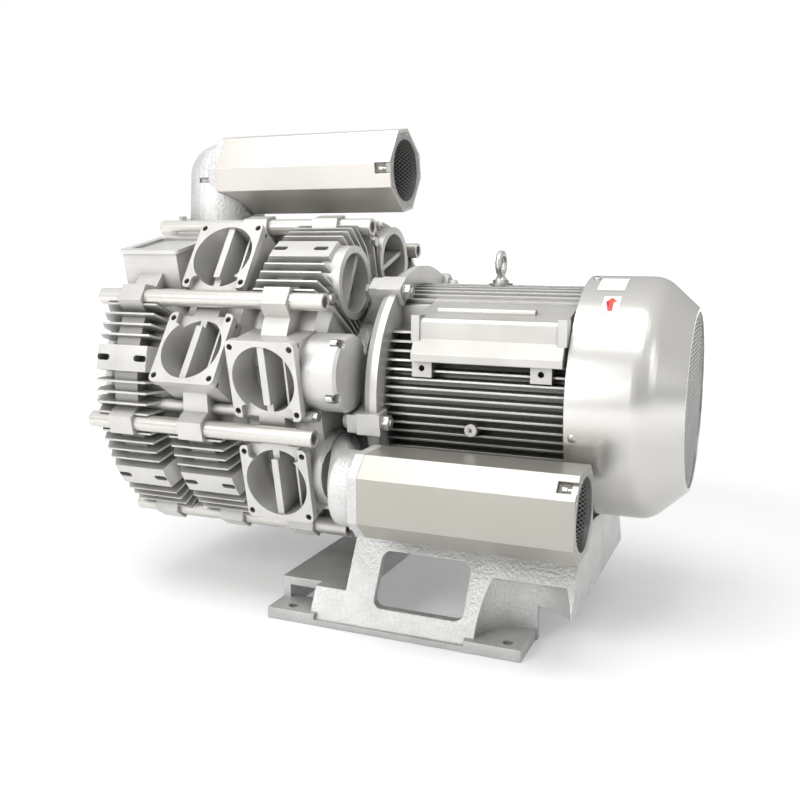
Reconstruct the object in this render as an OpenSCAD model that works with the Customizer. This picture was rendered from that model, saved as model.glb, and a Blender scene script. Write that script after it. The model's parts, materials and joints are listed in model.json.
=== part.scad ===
// Three-stage vortex blower: a finned ring-channel head, an overhung rotor,
// a foot-mounted motor and two silencers, all carried by one cast pedestal.
// X runs along the shaft towards the fan cowl, -Y is the front with the ports,
// Z is up, and the origin lies on the floor in the middle of the foot bolts.

/* [Setting out] */
// Height of the shaft axis above the floor
axis_h = 315; // [311:1:325]
// Distance between the foot bolts along the shaft
foot_span_x = 316; // [306:1:326]
// Distance between the foot bolts across the shaft
foot_span_y = 390; // [384:1:396]

/* [Blower head] */
// Distance between the centres of neighbouring stages
stage_pitch = 118; // [114:1:122]
// Centre of the stage beside the motor, along the shaft
stage_3_x = -170; // [-172:1:-166]
// Radius of a casing wall between the fins
core_r = 206; // [203:1:209]
// Radius of the fin tips
fin_r = 242; // [238:1:246]
// Thickness of a casing fin
fin_t = 3; // [2.4:0.1:4]
// Radius of the circle that the tie tubes lie on
tube_circle_r = 236; // [234:0.5:238]
// Outer diameter of a tie tube
tube_d = 24; // [22:0.5:25]
// Wall of a tie tube
tube_wall = 4; // [3:0.5:5]
// Width of the smooth band round the middle of a stage
band_w = 40; // [34:1:46]
// Angle of the port block of the stage beside the motor
block_3_angle = -11; // [-13:1:-9]

/* [Ports] */
// Height of a port flange's face above the casing wall
port_rise = 27; // [25:1:31]
// Distance from a tie tube to the centre of a port flange beside it
port_offset = 75; // [73:1:77]
// Length of a port flange along the shaft
flange_x = 104; // [100:1:108]
// Length of a port flange round the head
flange_y = 109; // [104:1:110]
// Thickness of a port flange
flange_t = 12; // [10:1:14]
// Distance between the bolts of a port flange
port_bolt_span = 90; // [86:1:92]
// Diameter of the opening in a port flange
port_d = 94; // [86:1:96]
// Radius of the circle that the axial ports lie on
axial_port_r = 184; // [180:1:186]
// Diameter of an axial port
axial_port_d = 84; // [76:1:88]

/* [Rotor] */
// Diameter of an impeller
impeller_d = 364; // [352:1:370]
// Width of an impeller
impeller_w = 40; // [36:1:41]
// Thickness of an impeller blade
blade_t = 3; // [2:0.5:4]
// Diameter of the shaft inside the head
shaft_d = 42; // [38:1:44]
// Radial clearance between an impeller and its casing
impeller_gap = 1.5; // [1:0.1:3]

/* [Motor] */
// Radius of the motor's fin tips
motor_r = 150; // [147:1:153]
// Length of the finned motor frame
motor_len = 250; // [244:1:256]
// Distance between the motor's fins
motor_fin_pitch = 12; // [11:0.5:13]
// Thickness of a motor fin
motor_fin_t = 3; // [2:0.5:4]
// Radius of the drive end shield
shield_r = 176; // [174:1:180]
// Radius of the fan cowl
cowl_r = 165; // [162:1:168]
// Length of the straight part of the fan cowl
cowl_straight = 96; // [90:1:100]
// Length of the sloping end of the fan cowl
cowl_slope = 45; // [42:1:50]
// Radius of the air grille
grille_r = 123; // [120:1:125]
// Diameter of a hole in the air grille
grille_hole_d = 11; // [9:0.5:12]
// Thickness of the fan cowl's sheet
sheet_t = 2.5; // [2:0.5:3]

/* [Silencers] */
// Distance across the flat sides of a silencer
silencer_w = 110; // [104:1:110]
// Size of the corner cuts of a silencer, along its flat sides
silencer_corner = 25; // [22:1:28]
// Length of the upper silencer's body
upper_len = 301; // [296:1:306]
// Length of the lower silencer's body
lower_len = 277; // [272:1:282]
// Diameter of the mouth of a silencer
mouth_d = 92; // [86:1:94]
// Turn of the upper silencer about its own axis
upper_turn = 35; // [32:1:38]
// Height of the upper silencer's axis above the face of its port, at the shaft's height
upper_rise = 84; // [84:1:91]
// Distance of the upper silencer's axis behind the shaft axis
upper_back = 45; // [40:1:46]

/* [Pedestal] */
// Wall thickness of the pedestal casting
base_wall = 12; // [10:1:14]
// Thickness of a foot pad
foot_t = 16; // [14:1:20]
// Diameter of a foot bolt hole
foot_hole_d = 14; // [12:0.5:18]
// Gap between the motor's fins and the pedestal's top plate
motor_lift = 15; // [13:1:19]
// Length of the window in the front and back walls
window_w = 130; // [120:1:140]
// Height of that window
window_h = 70; // [60:1:76]

/* [Hidden] */
$fn = 96;

// Heights and radii that follow from the sizes above
port_face_r = core_r + port_rise;
upper_up = port_face_r + upper_rise;
base_top = axis_h - motor_r - motor_lift;

// Clearances that mating pieces share
seat_gap = 0.1;
run_gap = 0.05;

// Places along the shaft
stage_x = [stage_3_x - 2 * stage_pitch, stage_3_x - stage_pitch, stage_3_x];
block_angle = [block_3_angle + 90, block_3_angle + 45, block_3_angle];
stage_half = stage_pitch / 2;
head_left = stage_x[0] - stage_half;
head_right = stage_x[2] + stage_half;
motor_left = head_right + 75;
motor_right = motor_left + motor_len;
shield_t = 22;
shield_left = motor_left - shield_t;
cowl_end = motor_right + cowl_straight + cowl_slope;

// Colours of the finishes
silver = [0.80, 0.80, 0.78];
cast_grey = [0.74, 0.74, 0.72];
satin = [0.83, 0.82, 0.79];
steel = [0.62, 0.63, 0.65];
dark_steel = [0.35, 0.36, 0.38];
copper = [0.72, 0.45, 0.25];
wool_grey = [0.45, 0.45, 0.43];
black = [0.12, 0.12, 0.13];

// Turns a drawing of radius and place along the shaft into a round body
module revolve() {
    translate([0, 0, axis_h])
        rotate([0, 90, 0])
            rotate_extrude()
                children();
}

// Pulls a drawing of the Y-Z plane along the shaft, from x0
module along_x(x0, len) {
    translate([x0, 0, axis_h])
        rotate([90, 0, 90])
            linear_extrude(len)
                children();
}

// Local frame at an angle above the front horizon: Z points outward, Y towards larger angles
module at_angle(a) {
    translate([0, 0, axis_h])
        rotate([90 - a, 0, 0])
            children();
}

// The same for a drawing of the Y-Z plane, where x points outward
module polar(a) {
    rotate(180 - a)
        children();
}

// Round bar along the shaft at an angle and a radius
module bar_x(a, r, x0, len, d) {
    at_angle(a)
        translate([x0, 0, r])
            rotate([0, 90, 0])
                cylinder(h = len, d = d);
}

// Hexagon bar along the shaft at an angle and a radius
module hex_x(a, r, x0, len, across) {
    at_angle(a)
        translate([x0, 0, r])
            rotate([0, 90, 0])
                cylinder(h = len, d = across / cos(30), $fn = 6);
}

// Rectangle with round corners
module round_rect(w, h, r) {
    hull()
        for (sx = [-1, 1], sy = [-1, 1])
            translate([sx * (w / 2 - r), sy * (h / 2 - r)])
                circle(r, $fn = 32);
}

// Blower stages
fin_offsets = [8, 11.75, 15.5, 19];
fin_root = 10;
cup_r = 190;
channel_mid_r = 156;
channel_r = 23;
half_gap = impeller_w / 2 + impeller_gap;
hub_hole_r = 58;
rib_reach = 8;
tube_hole_d = tube_d + 2 * seat_gap;
boss_top_r = tube_circle_r + tube_d / 2 + 3;
casing_bolt_r = 211;
casing_bolt_d = 8;
casing_bolt_offset = 5.6;
sector = 45;

// Thin radial plate of a stage, between two radii
module fin_line(a, r0, r1) {
    polar(a)
        translate([r0, -fin_t / 2])
            square([r1 - r0, fin_t]);
}

// Fins of the sectors that the port block leaves free
module fin_star(block, r0) {
    for (k = [1 : 6])
        for (side = [-1, 1], off = fin_offsets)
            fin_line(block + sector / 2 + sector * k + side * off, r0, fin_r + 2);
}

// Slotted pads in the middle of each free sector
module pad_star(block) {
    for (k = [1 : 6])
        polar(block + sector / 2 + sector * k)
            translate([core_r - fin_root, -pad_w / 2])
                square([fin_r + 2 - core_r + fin_root, pad_w]);
}
pad_w = 37;
pad_slot_w = 9;
pad_slot_l = 22;

// Envelope that chamfers the fin ends
module stage_envelope(x, end_rib) {
    slope = 16;
    right = end_rib ? x + stage_half + rib_reach : x + stage_half;
    shoulder = end_rib ? x + stage_half - 8 : x + stage_half - slope;
    revolve()
        polygon([[0, x - stage_half], [fin_r - 26, x - stage_half], [fin_r, x - stage_half + slope],
            [fin_r, shoulder], [fin_r - 34, right - 4], [150, right], [0, right]]);
}

// Solid wall of a stage without its fins
module stage_core(x) {
    edge = 14;
    revolve()
        polygon([[hub_hole_r, x + half_gap], [hub_hole_r, x + stage_half],
            [core_r - edge, x + stage_half], [core_r, x + stage_half - edge],
            [core_r, x - stage_half + edge], [core_r - edge, x - stage_half],
            [cup_r, x - stage_half], [cup_r, x + half_gap]]);
}

// Ring channel cut into a wall at x, open except at the port block
module channel_cut(x, block) {
    stripper = 26;
    translate([x, 0, axis_h])
        rotate([0, 90, 0])
            rotate([0, 0, block + stripper / 2 - 90 + 180])
                rotate_extrude(angle = 360 - stripper)
                    translate([channel_mid_r, 0])
                        circle(channel_r, $fn = 48);
}

// Flanged port block of a stage, in the frame of its tie tube
block_root = 150;
block_inset = 4;
module port_block(block, blank_side) {
    at_angle(block)
        for (side = [-1, 1]) {
            translate([0, side * port_offset, port_face_r - flange_t])
                linear_extrude(side == blank_side ? flange_t - 6 : flange_t)
                    round_rect(flange_x, flange_y, 8);
            translate([-flange_x / 2 + block_inset, side * port_offset - flange_y / 2 + block_inset, block_root])
                cube([flange_x - 2 * block_inset, flange_y - 2 * block_inset, port_face_r - block_root - flange_t / 2]);
        }
}

// Openings, dividing bar and bolt holes of a port block
pocket_depth = 58;
bar_w = 10;
bar_drop = 3;
port_bolt_hole_d = 8.5;
port_bolt_depth = 22;
module port_cuts(block, blank_side) {
    at_angle(block) {
        for (side = [-1, 1])
            if (side != blank_side)
                translate([0, side * port_offset, port_face_r]) {
                    difference() {
                        translate([0, 0, -pocket_depth])
                            cylinder(h = pocket_depth + 1, d = port_d);
                        translate([-bar_w / 2, -port_d, -pocket_depth - 1])
                            cube([bar_w, 2 * port_d, pocket_depth + 1 - bar_drop]);
                    }
                    for (sx = [-1, 1], sy = [-1, 1])
                        translate([sx * port_bolt_span / 2, sy * port_bolt_span / 2, -port_bolt_depth])
                            cylinder(h = port_bolt_depth + 1, d = port_bolt_hole_d, $fn = 32);
                }
        // Recess in the top of a blank side
        translate([0, blank_side * port_offset, port_face_r - 10])
            linear_extrude(20)
                round_rect(flange_x - 26, flange_y - 30, 6);
    }
}

// Thin rib across the right-hand pocket of each opening
pocket_rib_t = 3;
module port_ribs(block, blank_side) {
    at_angle(block)
        for (side = [-1, 1])
            if (side != blank_side)
                intersection() {
                    translate([port_d * 0.24, side * port_offset - port_d, port_face_r - pocket_depth - 1])
                        cube([pocket_rib_t, 2 * port_d, pocket_depth - 18]);
                    translate([0, side * port_offset, port_face_r - pocket_depth - 1])
                        cylinder(h = pocket_depth, d = port_d + 1);
                }
}

// Middle band with the bosses that hold the tie tubes
band_r = 230;
boss_half = 20;
module band(x, block) {
    along_x(x - band_w / 2, band_w) {
        difference() {
            circle(band_r);
            circle(core_r - 2);
            polar(block)
                translate([120, -port_offset])
                    square([200, 2 * port_offset]);
        }
        for (k = [1 : 7])
            polar(block + sector * k)
                polygon([[core_r - 4, -boss_half - 4], [band_r - 6, -boss_half - 4], [boss_top_r, -boss_half + 7],
                    [boss_top_r, boss_half - 7], [band_r - 6, boss_half + 4], [core_r - 4, boss_half + 4]]);
        // Cradle between the two flanges of the port block
        polar(block)
            translate([core_r - 4, -cradle_half])
                square([port_face_r - core_r + 4, 2 * cradle_half]);
    }
    // Round ridges that the long casing bolts pass through
    along_x(x - stage_half, 2 * stage_half)
        difference() {
            for (k = [0 : 7])
                polar(block + sector * k + casing_bolt_offset)
                    translate([casing_bolt_r, 0])
                        circle(d = bolt_ridge_d, $fn = 48);
            circle(core_r - fin_root);
        }
}
cradle_half = port_offset - flange_y / 2 + 1;
bolt_ridge_d = 17;
bolt_seat = 0.6;

// Slots in the pads
module pad_slots(x, block) {
    for (k = [1 : 6])
        at_angle(block + sector / 2 + sector * k)
            for (side = [-1, 1])
                translate([x + side * 32, 0, fin_r - 20]) {
                    for (end = [-1, 1])
                        translate([end * (pad_slot_l - pad_slot_w) / 2, 0, 0])
                            cylinder(h = 40, d = pad_slot_w, $fn = 32);
                    translate([(pad_slot_w - pad_slot_l) / 2, -pad_slot_w / 2, 0])
                        cube([pad_slot_l - pad_slot_w, pad_slot_w, 40]);
                }
}

// One finned stage casing
module stage_casing(i, end_rib) {
    x = stage_x[i];
    block = block_angle[i];
    blank_side = i == 0 ? -1 : 0;
    difference() {
        union() {
            stage_core(x);
            intersection() {
                along_x(x - stage_half, 2 * stage_half)
                    difference() {
                        union() {
                            fin_star(block, core_r - fin_root);
                            pad_star(block);
                        }
                        circle(core_r - fin_root);
                    }
                stage_envelope(x, end_rib);
            }
            if (end_rib)
                intersection() {
                    along_x(x + stage_half - 4, rib_reach + 4)
                        fin_star(block, lantern_seat_r + 6);
                    stage_envelope(x, end_rib);
                }
            band(x, block);
            translate([x, 0, 0])
                port_block(block, blank_side);
            if (end_rib)
                axial_ports();
        }
        difference() {
            translate([x, 0, 0])
                port_cuts(block, blank_side);
            translate([x, 0, 0])
                port_ribs(block, blank_side);
        }
        revolve()
            translate([0, x - stage_half - 1])
                square([cup_r, stage_half + 1 + half_gap]);
        channel_cut(x + half_gap, block);
        pad_slots(x, block);
        for (k = [0 : 7]) {
            bar_x(block + sector * k, tube_circle_r, x - stage_half - 20, stage_pitch + 40, tube_hole_d);
            bar_x(block + sector * k + casing_bolt_offset, casing_bolt_r, x - stage_half - 20,
                stage_pitch + 40, casing_bolt_d + 2 * seat_gap);
        }
        if (end_rib) {
            axial_port_cuts();
            for (k = [0 : 7])
                bar_x(block + sector * k + casing_bolt_offset, casing_bolt_r, head_right - bolt_seat, 30,
                    bolt_ridge_d + 2);
        }
    }
}

// Axial ports on the face beside the motor
lantern_seat_r = 118;
port_ring_wall = 10;
duct_d = 106;
duct_end = head_right + 5;
ring_end = head_right + 10;
ring_angles = [block_3_angle + 67.5, block_3_angle + 112.5];
cap_angle = block_3_angle + 22.5;
outlet_angle = block_3_angle - 22.5;
module axial_ports() {
    for (a = ring_angles)
        bar_x(a, axial_port_r, head_right - 20, ring_end - head_right + 20, axial_port_d + 2 * port_ring_wall);
    for (a = [cap_angle, outlet_angle])
        bar_x(a, axial_port_r, head_right - 30, duct_end - head_right + 30, duct_d);
}
axial_port_depth = 34;
module axial_port_cuts() {
    for (a = ring_angles)
        difference() {
            bar_x(a, axial_port_r, ring_end - axial_port_depth, axial_port_depth + 1, axial_port_d);
            at_angle(a)
                translate([head_right - 40, 0, axial_port_r])
                    rotate([30, 0, 0])
                        translate([0, -axial_port_d, -bar_w / 3])
                            cube([40 + rib_reach - 4, 2 * axial_port_d, 2 * bar_w / 3]);
        }
}

module stage_1_casing() {
    color(silver)
        stage_casing(0, false);
}

module stage_2_casing() {
    color(silver)
        stage_casing(1, false);
}

module stage_3_casing() {
    color(silver)
        stage_casing(2, true);
}

// Inner wall that closes a stage and carries the other ring channel
module stage_cover(i) {
    x = stage_x[i];
    difference() {
        revolve()
            polygon([[hub_hole_r, x - stage_half], [cup_r - seat_gap, x - stage_half],
                [cup_r - seat_gap, x - half_gap], [hub_hole_r, x - half_gap]]);
        channel_cut(x - half_gap, block_angle[i]);
    }
}

module stage_1_cover() {
    color(cast_grey)
        stage_cover(0);
}

module stage_2_cover() {
    color(cast_grey)
        stage_cover(1);
}

module stage_3_cover() {
    color(cast_grey)
        stage_cover(2);
}

// Bladed impeller
impeller_hub_r = 44;
hub_len = 56;
blade_count = 40;
pocket_r = 20;
impeller_rim_r = impeller_d / 2;
module impeller(i) {
    x = stage_x[i];
    half_w = impeller_w / 2;
    rim_in = channel_mid_r - channel_r - 3;
    union() {
        difference() {
            revolve()
                polygon([[shaft_d / 2 + run_gap, x - hub_len / 2], [impeller_hub_r, x - hub_len / 2],
                    [impeller_hub_r + 4, x - 8], [rim_in - 8, x - 6], [rim_in, x - half_w],
                    [impeller_rim_r, x - half_w], [impeller_rim_r, x + half_w], [rim_in, x + half_w],
                    [rim_in - 8, x + 6], [impeller_hub_r + 4, x + 8], [impeller_hub_r, x + hub_len / 2],
                    [shaft_d / 2 + run_gap, x + hub_len / 2]]);
            for (side = [-1, 1])
                revolve()
                    translate([channel_mid_r, x + side * half_w])
                        intersection() {
                            circle(pocket_r, $fn = 48);
                            translate([-pocket_r - 1, -half_w + 2])
                                square([2 * pocket_r + 2, 2 * half_w - 4]);
                        }
        }
        along_x(x - half_w, impeller_w)
            intersection() {
                for (k = [0 : blade_count - 1])
                    rotate(k * 360 / blade_count)
                        translate([rim_in, -blade_t / 2])
                            square([impeller_rim_r - rim_in, blade_t]);
                difference() {
                    circle(channel_mid_r + pocket_r + 2);
                    circle(channel_mid_r - pocket_r - 2);
                }
            }
    }
}

module impeller_1() {
    color(cast_grey)
        impeller(0);
}

module impeller_2() {
    color(cast_grey)
        impeller(1);
}

module impeller_3() {
    color(cast_grey)
        impeller(2);
}

// Sleeves between the impellers and a thrust sleeve beside the motor
sleeve_r = 30;
module spacer_sleeves() {
    color(steel)
        for (span = [[stage_x[0] + hub_len / 2, stage_x[1] - hub_len / 2],
                [stage_x[1] + hub_len / 2, stage_x[2] - hub_len / 2],
                [stage_x[2] + hub_len / 2, shaft_shoulder_x]])
            revolve()
                translate([shaft_d / 2 + run_gap, span[0]])
                    square([sleeve_r - shaft_d / 2 - run_gap, span[1] - span[0]]);
}

// Shaft seals in the hub holes of the three casings
seal_t = 12;
module shaft_seals() {
    color(black)
        for (x = stage_x)
            revolve()
                translate([sleeve_r + 1.5, x + stage_half - seal_t])
                    square([hub_hole_r - sleeve_r - 1.5, seal_t]);
}

// Lock nut and washer that hold the impellers on the shaft
module impeller_nut() {
    color(dark_steel)
        difference() {
            union() {
                translate([stage_x[0] - hub_len / 2 - nut_t, 0, axis_h])
                    rotate([0, 90, 0])
                        cylinder(h = nut_t, r = 31, $fn = 6);
            }
            bar_x(0, 0, stage_x[0] - hub_len / 2 - nut_t - 1, nut_t + 2, shaft_d + 2 * run_gap);
        }
}
nut_t = 10;

// Bearings: bore radius, outer radius, width and centre of each
head_bearing = [20, 45, 23, head_left - 13];
drive_bearing = [27.5, 60, 22, shield_left + 11];
fan_bearing = [22.5, 50, 25, motor_right + 6];
ball_count = 8;
ball_share = 0.56;
ball_gap = 0.08;
function ball_mid(b) = (b[0] + b[1]) / 2;
function ball_r(b) = (b[1] - b[0]) / 2 * ball_share;

// Ring of a bearing between two radii, with its ball groove
module bearing_ring(b, r0, r1) {
    difference() {
        revolve()
            translate([r0, b[3] - b[2] / 2])
                square([r1 - r0, b[2]]);
        revolve()
            translate([ball_mid(b), b[3]])
                circle(ball_r(b) + ball_gap, $fn = 48);
    }
}

module bearing_outer(b) {
    bearing_ring(b, ball_mid(b) + (b[1] - b[0]) * 0.16, b[1]);
}

module bearing_inner(b) {
    bearing_ring(b, b[0] + run_gap, ball_mid(b) - (b[1] - b[0]) * 0.16);
}

// Balls with the cage that spaces them
module bearing_balls(b) {
    cage_r = (b[1] - b[0]) * 0.08;
    for (k = [0 : ball_count - 1])
        at_angle(k * 360 / ball_count)
            translate([b[3], 0, ball_mid(b)])
                sphere(ball_r(b), $fn = 48);
    revolve()
        translate([ball_mid(b) - cage_r, b[3] - b[2] * 0.22])
            square([2 * cage_r, b[2] * 0.44]);
}

module drive_bearing_outer() {
    color(steel)
        bearing_outer(drive_bearing);
}

module drive_bearing_inner() {
    color(steel)
        bearing_inner(drive_bearing);
}

module drive_bearing_balls() {
    color(steel)
        bearing_balls(drive_bearing);
}

module fan_bearing_outer() {
    color(steel)
        bearing_outer(fan_bearing);
}

module fan_bearing_inner() {
    color(steel)
        bearing_inner(fan_bearing);
}

module fan_bearing_balls() {
    color(steel)
        bearing_balls(fan_bearing);
}

module head_bearing_outer() {
    color(steel)
        bearing_outer(head_bearing);
}

module head_bearing_inner() {
    color(steel)
        bearing_inner(head_bearing);
}

module head_bearing_balls() {
    color(steel)
        bearing_balls(head_bearing);
}

// Through shaft of motor and blower
shaft_left = head_bearing[3] - head_bearing[2] / 2 - 4;
shaft_shoulder_x = shield_left - 14;
rotor_bore_r = 31;
core_len = motor_len - 80;
core_mid = (motor_left + motor_right) / 2;
fan_seat_r = 20;
fan_x = motor_right + 34;
shaft_right = fan_x + 44;
module rotor_shaft() {
    color(steel)
        revolve()
            polygon([[0, shaft_left], [head_bearing[0], shaft_left],
                [head_bearing[0], head_bearing[3] + head_bearing[2] / 2],
                [shaft_d / 2, head_bearing[3] + head_bearing[2] / 2 + 1], [shaft_d / 2, shaft_shoulder_x],
                [drive_bearing[0], shaft_shoulder_x], [drive_bearing[0], drive_bearing[3] + drive_bearing[2] / 2],
                [rotor_bore_r + 4, drive_bearing[3] + drive_bearing[2] / 2],
                [rotor_bore_r + 4, core_mid - core_len / 2], [rotor_bore_r, core_mid - core_len / 2],
                [rotor_bore_r, core_mid + core_len / 2 + 10],
                [fan_bearing[0] + 5, fan_bearing[3] - fan_bearing[2] / 2],
                [fan_bearing[0], fan_bearing[3] - fan_bearing[2] / 2],
                [fan_bearing[0], fan_bearing[3] + fan_bearing[2] / 2], [fan_seat_r, fan_bearing[3] + fan_bearing[2] / 2],
                [fan_seat_r, shaft_right], [0, shaft_right]]);
}

// Motor
air_gap = 1;
stator_in_r = 78;
stator_out_r = 118;
frame_wall = 10;
frame_r = stator_out_r + frame_wall;

// Rotor core with its end rings
module rotor_core() {
    color(dark_steel)
        revolve()
            polygon([[rotor_bore_r + run_gap, core_mid - core_len / 2], [stator_in_r - air_gap, core_mid - core_len / 2],
                [stator_in_r - air_gap, core_mid + core_len / 2], [rotor_bore_r + run_gap, core_mid + core_len / 2]]);
    color(silver)
        for (side = [-1, 1])
            revolve()
                translate([58, side > 0 ? core_mid + core_len / 2 : core_mid - core_len / 2 - 12])
                    square([stator_in_r - air_gap - 60, 12]);
}

module stator_core() {
    color(dark_steel)
        revolve()
            translate([stator_in_r, core_mid - core_len / 2])
                square([stator_out_r - seat_gap - stator_in_r, core_len]);
}

module stator_windings() {
    color(copper)
        for (side = [-1, 1])
            revolve()
                translate([stator_in_r + 4, side > 0 ? core_mid + core_len / 2 : core_mid - core_len / 2 - winding_len])
                    square([26, winding_len]);
}
winding_len = 26;

// Section of the stepped pad at the front of the motor
pad_top = 111;
module motor_pad_outline() {
    polygon([[-60, 80], [-60, 133], [-98, 121], [-146, pad_top], [-150, pad_top - 4], [-150, pad_top - 27],
        [-161, pad_top - 46], [-161, pad_top - 56], [-118, pad_top - 56]]);
}

// Section of the finned frame
module motor_outline() {
    difference() {
        union() {
            circle(frame_r);
            intersection() {
                circle(motor_r);
                union()
                    for (k = [-7 : 7]) {
                        translate([-motor_r, motor_fin_pitch * k + 5 - motor_fin_t / 2])
                            square([motor_r - 88, motor_fin_t]);
                        translate([88, motor_fin_pitch * k + 5 - motor_fin_t / 2])
                            square([motor_r - 88, motor_fin_t]);
                        translate([motor_fin_pitch * k - motor_fin_t / 2, 88])
                            square([motor_fin_t, motor_r - 88]);
                        translate([motor_fin_pitch * k - motor_fin_t / 2, -motor_r])
                            square([motor_fin_t, motor_r - 88]);
                    }
            }
        }
        circle(stator_out_r);
    }
}

plug_x = motor_left + 125;
plug_z = -34;
pad_left = motor_left + 43;
pad_len = motor_len - 47;
lug_x = [pad_left + 12, pad_left + pad_len - 29];
motor_foot_x = [motor_left + 50, motor_right - 38];
motor_foot_y = 108;
motor_foot_len = 52;
foot_bolt_d = 12;
module motor_frame() {
    color(silver)
        difference() {
            union() {
                along_x(motor_left, motor_len)
                    motor_outline();
                along_x(pad_left, pad_len)
                    motor_pad_outline();
                // Round bar along the top of the pad
                translate([pad_left + 21, -112, axis_h + 118])
                    rotate([0, 90, 0])
                        cylinder(h = 135, d = 12);
                // Square posts at both ends of the pad
                for (x = [pad_left - 3, pad_left + pad_len - 9])
                    translate([x, -152, axis_h + pad_top - 30])
                        cube([12, 20, 34]);
                // Drilled lugs below the pad
                for (x = lug_x)
                    translate([x - 14, -motor_r - 1, axis_h + 33])
                        cube([28, 40, 26]);
                // Boss of the drain plug
                translate([plug_x, -motor_r - 3, axis_h + plug_z])
                    rotate([-90, 0, 0])
                        cylinder(h = 34, d = 17);
                // Boss of the lifting eye
                translate([eye_x, 0, axis_h + frame_r - 6])
                    cylinder(h = motor_r - frame_r + 8, d = 34);
                // Block that carries the terminal box
                at_angle(box_angle)
                    translate([box_x - box_len / 2 + 4, -box_w / 2 + 4, frame_r - 12])
                        cube([box_len - 8, box_w - 8, box_r - frame_r + 12]);
                // Feet that stand on the pedestal
                for (x = motor_foot_x, side = [-1, 1])
                    translate([x - motor_foot_len / 2, side * motor_foot_y - 22, base_top])
                        cube([motor_foot_len, 44, 16]);
                for (x = motor_foot_x, side = [-1, 1])
                    translate([x - 20, side * (motor_foot_y - 8) - 14, base_top + 15])
                        cube([14, 28, axis_h - base_top - 15 - 82]);
            }
            bar_x(0, 0, motor_left - 1, motor_len + 2, 2 * stator_out_r);
            for (x = lug_x)
                translate([x, -motor_r - 2, axis_h + 45])
                    rotate([-90, 0, 0])
                        cylinder(h = 20, d = 8, $fn = 32);
            translate([plug_x, -motor_r - 4, axis_h + plug_z])
                rotate([-90, 0, 0])
                    cylinder(h = 16, d = 9, $fn = 32);
            translate([eye_x, 0, axis_h + frame_r])
                cylinder(h = 40, d = 12 + 2 * seat_gap, $fn = 32);
            for (x = motor_foot_x, side = [-1, 1])
                translate([x + 10, side * (motor_foot_y + 2), base_top - 1])
                    cylinder(h = 20, d = foot_bolt_d + 1, $fn = 32);
        }
}

module drain_plug() {
    color(steel)
        translate([plug_x, -motor_r - 2, axis_h + plug_z])
            rotate([-90, 0, 0])
                cylinder(h = 14, d = 9 - 2 * seat_gap, $fn = 32);
}

// Lifting eye
eye_x = motor_left + 117;
eye_ring_r = 15;
eye_bar_r = 4.5;
module lifting_eye() {
    eye_z = axis_h + motor_r + 14 + eye_ring_r;
    color(steel) {
        translate([eye_x, 0, eye_z])
            rotate([0, 90, 0])
                rotate_extrude()
                    translate([eye_ring_r, 0])
                        circle(eye_bar_r, $fn = 32);
        translate([eye_x, 0, axis_h + motor_r + 2])
            cylinder(h = 5, d = 24);
        translate([eye_x, 0, axis_h + motor_r + 6])
            cylinder(h = 7, d1 = 20, d2 = 11, $fn = 48);
        translate([eye_x, 0, axis_h + frame_r + 1])
            cylinder(h = motor_r - frame_r + 3, d = 12, $fn = 32);
    }
}

// Drive end shield with the lugs that the lantern bolts to
lug_angles = [57, 123, 190, -10, -55, -125];
lug_mid_r = 170;
lug_left = shield_left - 6;
lug_end = motor_left + 7;
lantern_bolt_d = 12;
module shield_lugs(x0, len) {
    for (a = lug_angles)
        at_angle(a)
            translate([x0, -15, lug_mid_r - 14])
                cube([len, 30, 28]);
}

module drive_end_shield() {
    color(silver)
        difference() {
            union() {
                revolve()
                    polygon([[drive_bearing[1], shield_left - 2], [92, shield_left - 2], [100, shield_left + 6],
                        [shield_r - 12, shield_left], [shield_r - 4, shield_left + 3], [shield_r, shield_left + 12],
                        [shield_r, motor_left], [drive_bearing[1], motor_left]]);
                shield_lugs(lug_left, lug_end - lug_left);
            }
            bar_x(0, 0, shield_left - 30, 80, 2 * drive_bearing[1]);
            along_x(motor_left, 40)
                circle(motor_r + 6);
            for (a = lug_angles)
                bar_x(a, lug_mid_r, lug_left - 1, lug_end - lug_left + 2, lantern_bolt_d + 2 * seat_gap);
        }
}

module fan_end_shield() {
    color(silver)
        difference() {
            union() {
                revolve()
                    polygon([[fan_bearing[1], motor_right - 10], [stator_out_r - seat_gap, motor_right - 10],
                        [stator_out_r - seat_gap, motor_right], [motor_r - 6, motor_right],
                        [motor_r - 6, motor_right + 10], [80, motor_right + 22], [30, motor_right + 22],
                        [30, motor_right + 19], [fan_bearing[1], motor_right + 19]]);
                for (a = cowl_screw_angles)
                    at_angle(a)
                        translate([motor_right, -9, motor_r - 20])
                            cube([20, 18, cowl_r - sheet_t - 0.6 - motor_r + 20]);
            }
            for (a = cowl_screw_angles)
                at_angle(a)
                    translate([motor_right + 11, 0, cowl_r - 22])
                        cylinder(h = 30, d = cowl_screw_d + 2 * seat_gap, $fn = 32);
        }
}
cowl_screw_d = 5.6;

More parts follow.
